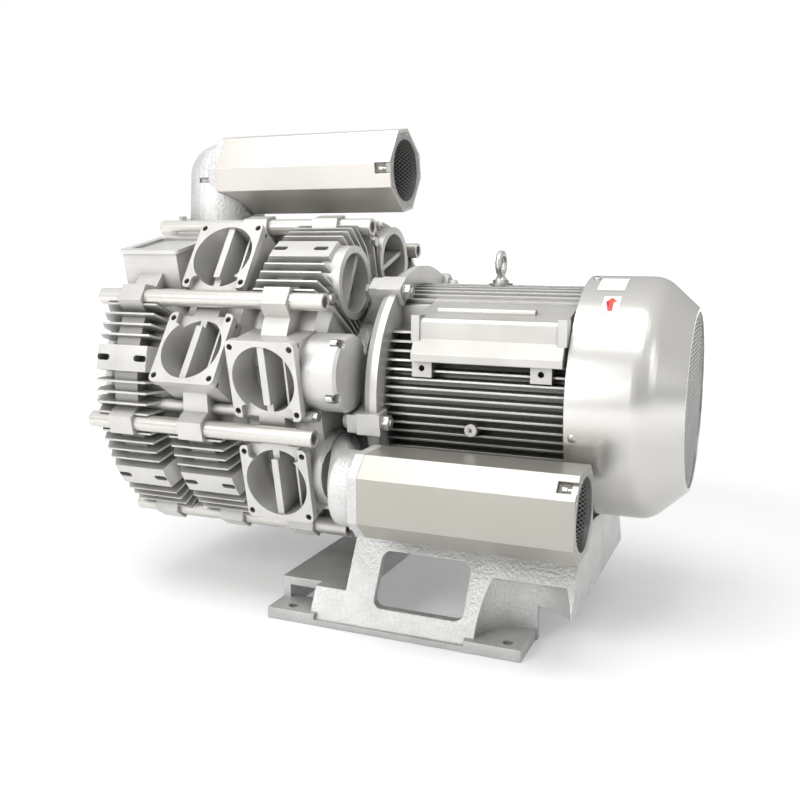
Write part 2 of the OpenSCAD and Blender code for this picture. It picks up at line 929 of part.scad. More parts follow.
// Open casting between the blower head and the motor
lantern_arm_w = 26;
arm_back = shield_left - 20;
arm_front = shield_left - 6;
module lantern() {
    color(cast_grey)
        difference() {
            union() {
                intersection() {
                    revolve()
                        polygon([[66, head_right], [lantern_seat_r, head_right], [lantern_seat_r + 4, head_right + 10],
                            [lug_mid_r - 20, arm_back - 6], [lug_mid_r - 14, arm_back], [lug_mid_r + 14, arm_back],
                            [lug_mid_r + 14, arm_front], [lug_mid_r - 14, arm_front],
                            [lantern_seat_r - 12, head_right + 20], [66, head_right + 12]]);
                    union() {
                        along_x(head_right - 1, 30)
                            circle(lantern_seat_r + 3);
                        along_x(head_right - 1, 80)
                            for (a = lug_angles)
                                polar(a)
                                    translate([50, -lantern_arm_w / 2])
                                        square([150, lantern_arm_w]);
                    }
                }
            }
            for (a = lug_angles)
                bar_x(a, lug_mid_r, head_right, 100, lantern_bolt_d + 2 * seat_gap);
        }
}

// Bolts that hold the motor to the lantern
head_t = 8;
nut_h = 10;
module lantern_bolts() {
    color(steel)
        for (a = lug_angles) {
            bar_x(a, lug_mid_r, arm_back - 1, lug_end - arm_back + nut_h + 2, lantern_bolt_d);
            hex_x(a, lug_mid_r, lug_end, nut_h, 19);
            hex_x(a, lug_mid_r, arm_back - head_t, head_t, 19);
        }
}

// Cooling fan on the rear shaft end
fan_blade_r = 132;
fan_blades = 9;
module cooling_fan() {
    color(black)
        difference() {
            union() {
                revolve()
                    polygon([[fan_seat_r + run_gap, fan_x], [34, fan_x], [40, fan_x + 8], [fan_blade_r - 14, fan_x + 4],
                        [fan_blade_r - 14, fan_x + 8], [40, fan_x + 14], [34, fan_x + 36], [fan_seat_r + run_gap, fan_x + 36]]);
                along_x(fan_x + 6, 34)
                    difference() {
                        for (k = [0 : fan_blades - 1])
                            rotate(k * 360 / fan_blades)
                                translate([30, -2])
                                    square([fan_blade_r - 30, 4]);
                        circle(30);
                    }
            }
        }
}

// Fan cowl
cowl_shoulder = 40;
cowl_lip = 4;
cowl_end_r = grille_r + 1;
slope_angle = atan2(cowl_r - cowl_end_r, cowl_slope);
shoulder_x = motor_right + cowl_straight - cowl_shoulder * tan(slope_angle / 2);
cowl_screw_angles = [for (k = [0 : 3]) block_3_angle + 90 * k];

// Points of the cowl's outside, or of its inside for an inset of one sheet
function cowl_points(inset) = concat(
    [[cowl_r - inset, motor_right - (inset > 0 ? 1 : 0)]],
    [for (t = [0 : 6]) [cowl_r - cowl_shoulder + (cowl_shoulder - inset) * cos(t * slope_angle / 6),
        shoulder_x + (cowl_shoulder - inset) * sin(t * slope_angle / 6)]],
    [[cowl_end_r - inset / cos(slope_angle) + (inset > 0 ? sheet_t * tan(slope_angle) : 0),
        cowl_end - (inset > 0 ? sheet_t : 0)]]);

module fan_cowl() {
    color(silver)
        difference() {
            revolve()
                polygon(concat([[0, motor_right]], cowl_points(0), [[0, cowl_end]]));
            revolve()
                polygon(concat([[0, motor_right - 1]], cowl_points(sheet_t), [[0, cowl_end - sheet_t]]));
            bar_x(0, 0, cowl_end - 10, 20, 2 * (grille_r - cowl_lip));
            for (a = cowl_screw_angles)
                at_angle(a)
                    translate([motor_right + 11, 0, cowl_r - 20])
                        cylinder(h = 30, d = cowl_screw_d + 2 * seat_gap, $fn = 32);
        }
}

// Perforated plate at the end of the cowl
grille_t = 2;
ring_step = 17;
grille_gap = 0.2;
module air_grille() {
    color(dark_steel)
        along_x(cowl_end - sheet_t - grille_t, grille_t)
            difference() {
                circle(grille_r - grille_gap);
                for (r = [ring_step : ring_step : grille_r - 11])
                    for (k = [0 : round(2 * PI * r / ring_step) - 1])
                        rotate(k * 360 / round(2 * PI * r / ring_step))
                            translate([r, 0])
                                circle(d = grille_hole_d, $fn = 24);
            }
}

module cowl_screws() {
    color(steel)
        for (a = cowl_screw_angles)
            at_angle(a)
                translate([motor_right + 11, 0, cowl_r]) {
                    cylinder(h = 3, d1 = 11, d2 = 7, $fn = 32);
                    translate([0, 0, -18])
                        cylinder(h = 18.5, d = cowl_screw_d, $fn = 32);
                }
}

// Terminal box on the side that faces away from the ports
box_x = motor_left + 88;
box_len = 130;
box_w = 96;
box_h = 52;
box_wall = 5;
box_angle = 180;
box_r = 152;
lid_t = 8;
module terminal_box() {
    color(silver)
        at_angle(box_angle)
            translate([box_x, 0, box_r])
                difference() {
                    linear_extrude(box_h)
                        round_rect(box_len, box_w, 12);
                    translate([0, 0, box_wall])
                        linear_extrude(box_h)
                            round_rect(box_len - 2 * box_wall, box_w - 2 * box_wall, 8);
                    translate([0, box_w / 2 + 1, box_h / 2])
                        rotate([90, 0, 0])
                            cylinder(h = box_wall + 2, d = gland_d, $fn = 48);
                }
}
gland_d = 32;

module terminal_lid() {
    color(silver)
        at_angle(box_angle)
            translate([box_x, 0, box_r + box_h]) {
                linear_extrude(lid_t)
                    difference() {
                        round_rect(box_len + 4, box_w + 4, 13);
                        for (sx = [-1, 1], sy = [-1, 1])
                            translate([sx * (box_len / 2 - 8), sy * (box_w / 2 - 8)])
                                circle(d = 5.2, $fn = 24);
                    }
            }
}

module lid_screws() {
    color(steel)
        at_angle(box_angle)
            for (sx = [-1, 1], sy = [-1, 1])
                translate([box_x + sx * (box_len / 2 - 8), sy * (box_w / 2 - 8), box_r + box_h]) {
                    translate([0, 0, lid_t])
                        cylinder(h = 3.5, d = 9, $fn = 32);
                    cylinder(h = lid_t + 0.5, d = 5, $fn = 24);
                }
}

module cable_gland() {
    color(black)
        at_angle(box_angle)
            translate([box_x, box_w / 2, box_r + box_h / 2])
                rotate([-90, 0, 0])
                    difference() {
                        union() {
                            translate([0, 0, -box_wall - 4])
                                cylinder(h = box_wall + 6, d = gland_d - 2 * seat_gap, $fn = 48);
                            cylinder(h = 12, d = 42, $fn = 6);
                            translate([0, 0, 11])
                                cylinder(h = 14, d1 = 36, d2 = 28, $fn = 48);
                        }
                        translate([0, 0, -20])
                            cylinder(h = 60, d = 18, $fn = 48);
                    }
}

// Left end of the head
cover_t = 26;
module head_end_cover() {
    color(silver)
        difference() {
            union() {
                revolve()
                    polygon([[head_bearing[1], head_left - cover_t], [78, head_left - cover_t], [90, head_left - 14],
                        [core_r - 14, head_left - 10], [core_r - 14, head_left], [head_bearing[1], head_left]]);
                intersection() {
                    along_x(head_left - cover_t, cover_t)
                        for (k = [0 : 23])
                            polar(k * 15 + block_angle[0])
                                translate([60, -fin_t / 2])
                                    square([core_r - 78, fin_t]);
                    revolve()
                        polygon([[0, head_left - cover_t], [84, head_left - cover_t], [core_r - 16, head_left - 16],
                            [core_r - 14, head_left], [0, head_left]]);
                }
            }
            bar_x(0, 0, head_left - cover_t - 30, cover_t + 60, 2 * head_bearing[1]);
        }
}

module head_bearing_cap() {
    color(silver)
        difference() {
            revolve()
                polygon([[0, head_left - cover_t - 14], [58, head_left - cover_t - 14], [66, head_left - cover_t - 8],
                    [66, head_left - cover_t], [head_bearing[1] - 6, head_left - cover_t],
                    [head_bearing[1] - 6, head_left - cover_t - 6], [0, head_left - cover_t - 6]]);
            for (k = [0 : 3])
                bar_x(k * 90 + 45, 56, head_left - cover_t - 16, 3, 12);
        }
}

// Tie tubes round the head
tube_left = head_left - 1;
tube_right = head_right + 11;
module tie_tubes() {
    color(satin)
        for (k = [0 : 7])
            difference() {
                bar_x(block_3_angle + sector * k, tube_circle_r, tube_left, tube_right - tube_left, tube_d);
                bar_x(block_3_angle + sector * k, tube_circle_r, tube_left - 1, tube_right - tube_left + 2, tube_d - 2 * tube_wall);
            }
}

// Long bolts beside the tie tubes that clamp the three casings
module casing_bolts() {
    color(steel)
        for (k = [0 : 7])
            for (bolt = [block_3_angle + sector * k + casing_bolt_offset]) {
                bar_x(bolt, casing_bolt_r, head_left - 6, head_right - head_left + 12, casing_bolt_d);
                hex_x(bolt, casing_bolt_r, head_right - bolt_seat, 7, 13);
                hex_x(bolt, casing_bolt_r, head_left - 7, 7, 13);
            }
}

// Blind cap on the axial port beside the motor
cap_len = 37;
cap_screws = [45, 135, 225, 315];
module blind_cap() {
    color(silver)
        difference() {
            at_angle(cap_angle)
                translate([duct_end, 0, axial_port_r])
                    rotate([0, 90, 0]) {
                        cylinder(h = cap_len - 4, d = duct_d);
                        translate([0, 0, cap_len - 4])
                            cylinder(h = 4, d1 = duct_d, d2 = duct_d - 8);
                    }
            at_angle(cap_angle)
                translate([duct_end, 0, axial_port_r])
                    rotate([0, 90, 0])
                        for (a = cap_screws)
                            rotate(a)
                                translate([duct_d / 2 - 2, 0, cap_len - 16])
                                    cylinder(h = 30, d = 15, $fn = 32);
        }
}

module blind_cap_screws() {
    color(steel)
        at_angle(cap_angle)
            translate([duct_end, 0, axial_port_r])
                rotate([0, 90, 0])
                    for (a = cap_screws)
                        rotate(a)
                            translate([duct_d / 2 - 2, 0, cap_len - 16])
                                cylinder(h = 9, d = 11, $fn = 32);
}

// Silencers: place of each axis and of the left end of each body
module silencer_outline(w) {
    h = w / 2;
    c = silencer_corner;
    polygon([[h, h - c], [h - c, h], [c - h, h], [-h, h - c], [-h, c - h], [c - h, -h], [h - c, -h], [h, c - h]]);
}

cap_t = 13;
upper_left = stage_x[0] + 19;
lower_left = head_right + 88;
upper_normal = block_angle[0];
lower_y = -212;
lower_z = -112;
shell_t = 3;
end_ring_t = 8;
liner_t = 1.5;
notch_len = 24;
notch_w = 16;

// Pulls a drawing along a silencer's own axis
module at_silencer(upper, x0, len) {
    translate([x0, upper ? upper_back : lower_y, axis_h + (upper ? upper_up : lower_z)])
        rotate([upper ? -upper_turn : 0, 0, 0])
            rotate([90, 0, 90])
                linear_extrude(len)
                    children();
}

module silencer_body(upper) {
    left = upper ? upper_left : lower_left;
    len = upper ? upper_len : lower_len;
    color(satin)
        difference() {
            at_silencer(upper, left, len)
                difference() {
                    silencer_outline(silencer_w);
                    silencer_outline(silencer_w - 2 * shell_t);
                }
            // Notch for the screw of the end ring
            at_silencer(upper, left + len - notch_len, notch_len + 1)
                rotate(upper ? 225 - 10 : 135)
                    translate([silencer_w / 2 - 8, -notch_w / 2])
                        square([20, notch_w]);
        }
}

module silencer_ring(upper) {
    left = upper ? upper_left : lower_left;
    len = upper ? upper_len : lower_len;
    color(satin)
        at_silencer(upper, left + len - end_ring_t, end_ring_t)
            difference() {
                silencer_outline(silencer_w - 2 * shell_t - 2 * seat_gap);
                circle(d = mouth_d);
            }
}

module silencer_liner(upper) {
    left = upper ? upper_left : lower_left;
    len = upper ? upper_len : lower_len;
    color(steel)
        at_silencer(upper, left + seat_gap, len - end_ring_t - 2 * seat_gap)
            difference() {
                circle(d = mouth_d + 2 * liner_t);
                circle(d = mouth_d);
            }
}

module silencer_wool(upper) {
    left = upper ? upper_left : lower_left;
    len = upper ? upper_len : lower_len;
    color(wool_grey)
        at_silencer(upper, left + 1, len - end_ring_t - 2)
            difference() {
                silencer_outline(silencer_w - 2 * shell_t - 1);
                circle(d = mouth_d + 2 * liner_t + 0.6);
            }
}

module inlet_silencer_body() {
    silencer_body(true);
}

module outlet_silencer_body() {
    silencer_body(false);
}

module inlet_silencer_liner() {
    silencer_liner(true);
}

module outlet_silencer_liner() {
    silencer_liner(false);
}

module inlet_silencer_ring() {
    silencer_ring(true);
}

module outlet_silencer_ring() {
    silencer_ring(false);
}

module inlet_silencer_wool() {
    silencer_wool(true);
}

module outlet_silencer_wool() {
    silencer_wool(false);
}

// Elbow casting of the upper silencer: port flange, bend and end cap in one piece
elbow_r = 52;
elbow_wall = 7;
elbow_flange_t = 8;
inlet_port_y = port_offset * sin(upper_normal) - port_face_r * cos(upper_normal);
inlet_port_z = port_offset * cos(upper_normal) + port_face_r * sin(upper_normal);
inlet_lean = atan2(upper_back - inlet_port_y, upper_up - inlet_port_z);
module inlet_elbow() {
    color(cast_grey)
        difference() {
            union() {
                difference() {
                    // Hood over the port
                    hull() {
                        at_angle(upper_normal)
                            translate([stage_x[0], port_offset, port_face_r + 2])
                                cylinder(h = 5, r = elbow_r - 1, $fn = 32);
                        translate([stage_x[0] - 3, upper_back - 4, axis_h + upper_up - 2])
                            sphere(elbow_r, $fn = 32);
                        translate([upper_left - cap_t + 1, upper_back, axis_h + upper_up])
                            rotate([0, 90, 0])
                                cylinder(h = 4, r = elbow_r, $fn = 32);
                    }
                    // Room for the silencer body
                    at_silencer(true, upper_left - 0.5, 100)
                        silencer_outline(silencer_w + 0.6);
                }
                at_angle(upper_normal)
                    translate([stage_x[0], port_offset, port_face_r])
                        linear_extrude(elbow_flange_t)
                            round_rect(flange_x, flange_y, 8);
                at_silencer(true, upper_left - cap_t, cap_t)
                    silencer_outline(silencer_w);
            }
            // Air passage
            intersection() {
                translate([stage_x[0] - 4, inlet_port_y - 2, axis_h + inlet_port_z - 22])
                    rotate([-inlet_lean, 0, 0])
                        cylinder(h = upper_up - inlet_port_z + 14, r = elbow_r - elbow_wall - 5);
                translate([stage_x[0] - 100, -200, axis_h])
                    cube([upper_left - cap_t + 6 - stage_x[0] + 100, 500, 500]);
            }
            translate([stage_x[0] - 20, upper_back, axis_h + upper_up])
                rotate([0, 90, 0])
                    cylinder(h = 60, r = elbow_r - elbow_wall);
            at_cap_screws(true)
                cylinder(h = 20, d = cap_screw_d + 1.2, $fn = 32);
            at_angle(upper_normal)
                translate([stage_x[0], port_offset, port_face_r - 1])
                    for (sx = [-1, 1], sy = [-1, 1])
                        translate([sx * port_bolt_span / 2, sy * port_bolt_span / 2])
                            cylinder(h = elbow_flange_t + 2, d = port_bolt_hole_d, $fn = 32);
        }
}

// Elbow casting of the lower silencer, an offset bend between round port and end cap
module outlet_bend(r, extra) {
    port_y = -axial_port_r * cos(outlet_angle);
    port_z = axial_port_r * sin(outlet_angle);
    hull() {
        translate([duct_end + 8 - extra, port_y, axis_h + port_z])
            rotate([0, 90, 0])
                cylinder(h = 6 + extra, r = r, $fn = 32);
        translate([lower_left - cap_t - 30, lower_y, axis_h + lower_z])
            rotate([0, 90, 0])
                cylinder(h = 5, r = r, $fn = 32);
    }
    // The passage starts a little earlier than the outside
    start = extra > 0 ? 28.5 : 27;
    translate([lower_left - cap_t - start, lower_y, axis_h + lower_z])
        rotate([0, 90, 0])
            cylinder(h = start + 1 + extra, r = r + 1);
}

module outlet_elbow() {
    color(cast_grey)
        difference() {
            union() {
                at_silencer(false, lower_left - cap_t, cap_t)
                    silencer_outline(silencer_w);
                bar_x(outlet_angle, axial_port_r, duct_end, 9, duct_d);
                outlet_bend(elbow_r - 2, 0);
            }
            outlet_bend(elbow_r - 2 - elbow_wall, cap_t + 1);
        }
}

// Screws in the free corners of the silencer end caps
cap_screw_d = 7;
module at_cap_screws(upper) {
    for (a = upper ? [45, 135, 315] : [45, 135, 225, 315])
        translate([(upper ? upper_left : lower_left) - cap_t, upper ? upper_back : lower_y,
            axis_h + (upper ? upper_up : lower_z)])
            rotate([upper ? -upper_turn : 0, 0, 0])
                rotate([a, 0, 0])
                    translate([0, 0, silencer_w / 2 + 2])
                        rotate([0, -90, 0])
                            children();
}

module silencer_screws() {
    color(steel)
        for (upper = [true, false])
            at_cap_screws(upper)
                cylinder(h = 5, d = cap_screw_d, $fn = 32);
}

module elbow_bolts() {
    color(steel)
        at_angle(upper_normal)
            translate([stage_x[0], port_offset, port_face_r])
                for (sx = [-1, 1], sy = [-1, 1])
                    translate([sx * port_bolt_span / 2, sy * port_bolt_span / 2, 0]) {
                        translate([0, 0, -18])
                            cylinder(h = 18 + elbow_flange_t - 0.5, d = 8, $fn = 32);
                        // The two on the right sit flush below the silencer
                        if (sx < 0) {
                            translate([0, 0, elbow_flange_t - 1])
                                cylinder(h = 2, d = 8, $fn = 32);
                            translate([0, 0, elbow_flange_t])
                                cylinder(h = 8, d = 13, $fn = 32);
                        }
                    }
}

// Pedestal
base_left = head_right + 32;
base_right = motor_right + 22;
wing_left = -foot_span_x / 2 - 31;
base_half = 214;
wall_foot = 208;
top_half = 129;
skirt_h = 8;
wing_h = 47;
recess_r = 62;
recess_x = foot_span_x / 2 + 18;
foot_left_x = -foot_span_x / 2;
foot_right_x = foot_span_x / 2;
foot_y = foot_span_y / 2;

// Half-width of the leaning walls at a height
function base_y(z) = wall_foot - (wall_foot - top_half) * (z - skirt_h) / (base_top - skirt_h);

// Cross-section of the pedestal up to a height, less a wall
module base_section(h, wall) {
    low = wall_foot - wall;
    out = wall > 0 ? low : base_half;
    floor_z = wall > 0 ? -1 : 0;
    polygon([[-out, floor_z], [out, floor_z], [out, skirt_h], [low, skirt_h + 0.1], [base_y(h) - wall, h],
        [-base_y(h) + wall, h], [-low, skirt_h + 0.1], [-out, skirt_h]]);
}

module base_extrude(x0, len) {
    translate([x0, 0, 0])
        rotate([90, 0, 90])
            linear_extrude(len)
                children();
}

module pedestal() {
    color(cast_grey)
        difference() {
            union() {
                difference() {
                    union() {
                        base_extrude(base_left, base_right - base_left)
                            base_section(base_top, 0);
                        base_extrude(wing_left, base_left - wing_left + 1)
                            base_section(wing_h, 0);
                    }
                    // Inside of the shell
                    base_extrude(base_left + base_wall, base_right - base_left - 2 * base_wall)
                        base_section(base_top - base_wall, base_wall);
                    base_extrude(wing_left + base_wall, base_left - wing_left + 1)
                        base_section(wing_h - base_wall, base_wall);
                    // Windows in the leaning walls
                    translate([window_x, 0, 32 + window_h / 2])
                        rotate([90, 0, 0])
                            translate([0, 0, -300])
                                linear_extrude(600)
                                    round_rect(window_w, window_h, 12);
                    // Pockets of the left feet
                    for (side = [-1, 1])
                        translate([wing_left - 1, side > 0 ? foot_y - 26 : -foot_y - 100, foot_t])
                            cube([wing_pocket + 1, 126, 200]);
                    // Arched recesses of the right feet
                    for (side = [-1, 1])
                        translate([recess_x, side * (foot_y + 6), -1])
                            cylinder(h = arch_top + 1, r = recess_r);
                }
                // Floors of the foot pockets and the walls round the arched recesses
                for (side = [-1, 1]) {
                    translate([wing_left, side > 0 ? foot_y - 36 : -base_half, 0])
                        cube([wing_pocket + 10, base_half - foot_y + 36, foot_t]);
                    intersection() {
                        translate([recess_x, side * (foot_y + 6), 0])
                            cylinder(h = foot_t, r = recess_r + base_wall);
                        translate([foot_right_x - 60, side > 0 ? foot_y - 70 : -base_half, 0])
                            cube([82, base_half - foot_y + 70, foot_t]);
                    }
                    intersection() {
                        difference() {
                            translate([recess_x, side * (foot_y + 6), 0])
                                cylinder(h = base_top, r = recess_r + base_wall);
                            translate([recess_x, side * (foot_y + 6), -1])
                                cylinder(h = arch_top + 1, r = recess_r);
                        }
                        base_extrude(base_left, base_right - base_left)
                            base_section(base_top, 0);
                        translate([recess_x - recess_r - base_wall, side > 0 ? 0 : -base_half, 0])
                            cube([2 * recess_r, base_half, arch_top + base_wall]);
                    }
                }
            }
            // Relief under the round end shield and under the fan cowl
            bar_x(0, 0, base_left - 1, motor_foot_x[0] - motor_foot_len / 2 - base_left - 2, 2 * (lug_mid_r + 20));
            bar_x(0, 0, motor_right - 2, 60, 2 * (cowl_r + 5));
            // Open end beyond the right feet
            translate([foot_right_x + 24, -300, -1])
                cube([200, 600, arch_low + 1]);
            // Foot bolt holes
            for (x = [foot_left_x, foot_right_x], y = [-foot_y, foot_y])
                translate([x, y, -1])
                    cylinder(h = foot_t + 2, d = foot_hole_d);
            // Holes of the motor's foot bolts
            for (x = motor_foot_x, side = [-1, 1])
                translate([x + 10, side * (motor_foot_y + 2), base_top - base_wall - 1])
                    cylinder(h = base_wall + 2, d = foot_bolt_d + 1, $fn = 32);
        }
}
window_x = 30;
wing_pocket = 63;
arch_top = 88;
arch_low = 49;

module motor_foot_bolts() {
    color(steel)
        for (x = motor_foot_x, side = [-1, 1])
            translate([x + 10, side * (motor_foot_y + 2), 0]) {
                translate([0, 0, base_top - base_wall - 12])
                    cylinder(h = base_wall + 34, d = foot_bolt_d, $fn = 32);
                translate([0, 0, base_top + 16])
                    cylinder(h = 8, d = 20, $fn = 6);
                translate([0, 0, base_top - base_wall - 10])
                    cylinder(h = 10, d = 20, $fn = 6);
            }
}

pedestal();
motor_frame();
stator_core();
stator_windings();
drive_end_shield();
fan_end_shield();
drive_bearing_outer();
drive_bearing_inner();
drive_bearing_balls();
fan_bearing_outer();
fan_bearing_inner();
fan_bearing_balls();
head_bearing_outer();
head_bearing_inner();
head_bearing_balls();
rotor_core();
rotor_shaft();
cooling_fan();
fan_cowl();
air_grille();
cowl_screws();
lifting_eye();
drain_plug();
terminal_box();
terminal_lid();
cable_gland();
lid_screws();
motor_foot_bolts();
lantern();
lantern_bolts();
stage_1_casing();
stage_2_casing();
stage_3_casing();
stage_1_cover();
stage_2_cover();
stage_3_cover();
impeller_1();
impeller_2();
impeller_3();
spacer_sleeves();
impeller_nut();
shaft_seals();
head_end_cover();
head_bearing_cap();
tie_tubes();
casing_bolts();
blind_cap();
blind_cap_screws();
inlet_elbow();
outlet_elbow();
inlet_silencer_body();
outlet_silencer_body();
inlet_silencer_liner();
outlet_silencer_liner();
inlet_silencer_ring();
outlet_silencer_ring();
inlet_silencer_wool();
outlet_silencer_wool();
silencer_screws();
elbow_bolts();
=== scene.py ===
import json
import math

import bmesh
import bpy
from mathutils import Matrix, Vector


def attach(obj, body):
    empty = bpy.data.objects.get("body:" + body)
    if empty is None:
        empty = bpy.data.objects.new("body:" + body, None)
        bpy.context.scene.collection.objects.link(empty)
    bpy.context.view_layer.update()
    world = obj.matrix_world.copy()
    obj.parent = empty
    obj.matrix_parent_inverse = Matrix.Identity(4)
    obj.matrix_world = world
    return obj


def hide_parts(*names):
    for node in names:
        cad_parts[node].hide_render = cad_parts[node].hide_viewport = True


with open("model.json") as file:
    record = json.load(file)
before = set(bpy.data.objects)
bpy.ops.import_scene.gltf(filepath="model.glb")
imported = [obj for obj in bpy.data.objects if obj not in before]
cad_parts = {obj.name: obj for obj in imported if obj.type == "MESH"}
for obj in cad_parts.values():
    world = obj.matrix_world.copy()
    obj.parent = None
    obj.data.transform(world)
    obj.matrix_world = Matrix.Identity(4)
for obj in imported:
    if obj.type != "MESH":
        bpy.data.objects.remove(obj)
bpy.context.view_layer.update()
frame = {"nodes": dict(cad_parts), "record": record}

bpy.context.scene.view_settings.view_transform = "Standard"

# Places shared with the solids, in metres and degrees
AXIS_H = 0.315
COWL_LEFT = 0.214
COWL_R = 0.165
STAGE_END = -0.111
STAGE_ANGLE = -11
AXIAL_PORT_R = 0.184
BLIND_CAP_T = 0.026
LUG_ANGLES = (57, 123, 190, -10, -55, -125)
LUG_R = 0.170
LUG_END = -0.029
LANTERN_FACE = -0.078
PLUG_FACE = (0.089, -0.1520, 0.2810)
# Each silencer: its left end and length, its axis, its turn, the corners of its end cap that
# have a screw and the side of its notch
SILENCERS = (
    dict(left=-0.387, length=0.301, y=0.045, z=0.632, turn=-35, corners=(45, 135, 315), notch=215),
    dict(left=-0.023, length=0.277, y=-0.212, z=0.203, turn=0, corners=(45, 135, 225, 315), notch=135),
)

# Camera of the photograph
CAM_AZIMUTH = 22.99
CAM_ELEVATION = 9.79
CAM_PLACE = (0.4668, -1.2799, 0.5266)
CAM_LENS = 41.47


def camera():
    data = bpy.data.cameras.new("camera")
    data.sensor_width = 36
    data.lens = CAM_LENS
    data.clip_start = 0.05
    data.clip_end = 50
    cam = bpy.data.objects.new("camera", data)
    bpy.context.collection.objects.link(cam)
    a, e = math.radians(CAM_AZIMUTH), math.radians(CAM_ELEVATION)
    back = Vector((math.sin(a) * math.cos(e), -math.cos(a) * math.cos(e), math.sin(e)))
    cam.location = CAM_PLACE
    cam.rotation_mode = "QUATERNION"
    cam.rotation_quaternion = (-back).to_track_quat("-Z", "Y")
    bpy.context.scene.camera = cam


camera()


# Node materials

class Nodes:
    """Small helper that adds nodes and links them."""

    def __init__(self, tree):
        self.tree = tree

    def add(self, kind, **values):
        node = self.tree.nodes.new(kind)
        for key, value in values.items():
            setattr(node, key, value)
        return node

    def link(self, out, into):
        self.tree.links.new(out, into)

    def noise(self, vector, scale, detail=3.0, roughness=0.55):
        node = self.add("ShaderNodeTexNoise")
        self.link(vector, node.inputs["Vector"])
        node.inputs["Scale"].default_value = scale
        node.inputs["Detail"].default_value = detail
        node.inputs["Roughness"].default_value = roughness
        return node.outputs["Fac"]

    def ramp(self, value, low, high, out_low=0.0, out_high=1.0):
        node = self.add("ShaderNodeMapRange", clamp=True)
        self.link(value, node.inputs["Value"])
        node.inputs["From Min"].default_value = low
        node.inputs["From Max"].default_value = high
        node.inputs["To Min"].default_value = out_low
        node.inputs["To Max"].default_value = out_high
        return node.outputs["Result"]

    def mix(self, fac, a, b):
        node = self.add("ShaderNodeMix", data_type="RGBA")
        self.link(fac, node.inputs["Factor"])
        for socket, value in ((node.inputs[6], a), (node.inputs[7], b)):
            if isinstance(value, tuple):
                socket.default_value = value + (1.0,)
            else:
                self.link(value, socket)
        return node.outputs[2]

    def math(self, op, a, b=None):
        node = self.add("ShaderNodeMath", operation=op)
        for socket, value in zip(node.inputs, (a, b)):
            if value is None:
                continue
            if isinstance(value, (int, float)):
                socket.default_value = value
            else:
                self.link(value, socket)
        return node.outputs[0]


def start_material(name):
    mat = bpy.data.materials.new(name)
    mat.use_nodes = True
    nodes = Nodes(mat.node_tree)
    shader = mat.node_tree.nodes["Principled BSDF"]
    coords = nodes.add("ShaderNodeTexCoord").outputs["Object"]
    return mat, nodes, shader, coords


def finish_bump(nodes, shader, height, distance, strength=1.0, under=None):
    bump = nodes.add("ShaderNodeBump")
    if under:
        nodes.link(under, bump.inputs["Normal"])
    bump.inputs["Distance"].default_value = distance
    bump.inputs["Strength"].default_value = strength
    nodes.link(height, bump.inputs["Height"])
    nodes.link(bump.outputs["Normal"], shader.inputs["Normal"])


def metal(name, light, dark, metallic, rough, grain=600, bump=0.0002, blotch=14,
          crevice_shade=0.0, crevice_shade_dist=0.02, brushed=None, edge=0.0, edge_r=0.0012, speckle=0.0):
    """Metal or metal paint with blotches, fine grain, painted shade in crevices and a painted highlight on
    rounded edges.
    """
    mat, nodes, shader, coords = start_material(name)
    cloud = nodes.ramp(nodes.noise(coords, blotch), 0.35, 0.7)
    colour = nodes.mix(cloud, light, dark)
    if speckle:
        dots = nodes.ramp(nodes.noise(coords, 420, 5.0, 0.7), 0.45, 0.65, 0.0, speckle)
        colour = nodes.mix(dots, colour, tuple(0.45 * c for c in dark))
    rounded = None
    # The bevel normal rounds the shading of sharp edges; its turn from the flat normal also masks a painted
    # highlight, a brighter colour mixed onto the edges.
    if edge:
        bevel = nodes.add("ShaderNodeBevel", samples=4)
        bevel.inputs["Radius"].default_value = edge_r
        rounded = bevel.outputs["Normal"]
        flat = nodes.add("ShaderNodeNewGeometry").outputs["Normal"]
        turn = nodes.add("ShaderNodeVectorMath", operation="DOT_PRODUCT")
        nodes.link(rounded, turn.inputs[0])
        nodes.link(flat, turn.inputs[1])
        edge_highlight = nodes.ramp(turn.outputs["Value"], 0.99, 0.8, 0.0, edge)
        bright = tuple(min(1.0, 1.25 * c) for c in light)
        colour = nodes.mix(edge_highlight, colour, bright)
    # Painted shade: where ambient occlusion finds surfaces close by, in crevices, recesses and between parts,
    # the colour is mixed towards a deep tone of the dark colour.
    if crevice_shade:
        occlusion = nodes.add("ShaderNodeAmbientOcclusion", samples=8)
        occlusion.inputs["Distance"].default_value = crevice_shade_dist
        shade = nodes.ramp(occlusion.outputs["AO"], 0.15, 0.95, crevice_shade, 0.0)
        shade_colour = tuple(0.25 * c for c in dark)
        colour = nodes.mix(shade, colour, shade_colour)
    nodes.link(colour, shader.inputs["Base Color"])
    shader.inputs["Metallic"].default_value = metallic
    if brushed:
        mapping = nodes.add("ShaderNodeMapping")
        mapping.inputs["Scale"].default_value = brushed
        nodes.link(coords, mapping.inputs["Vector"])
        fine = nodes.noise(mapping.outputs["Vector"], grain, 4.0)
    else:
        fine = nodes.noise(coords, grain, 4.0)
    nodes.link(nodes.ramp(fine, 0.2, 0.8, rough * 0.82, rough * 1.2), shader.inputs["Roughness"])
    finish_bump(nodes, shader, fine, bump, under=rounded)
    return mat


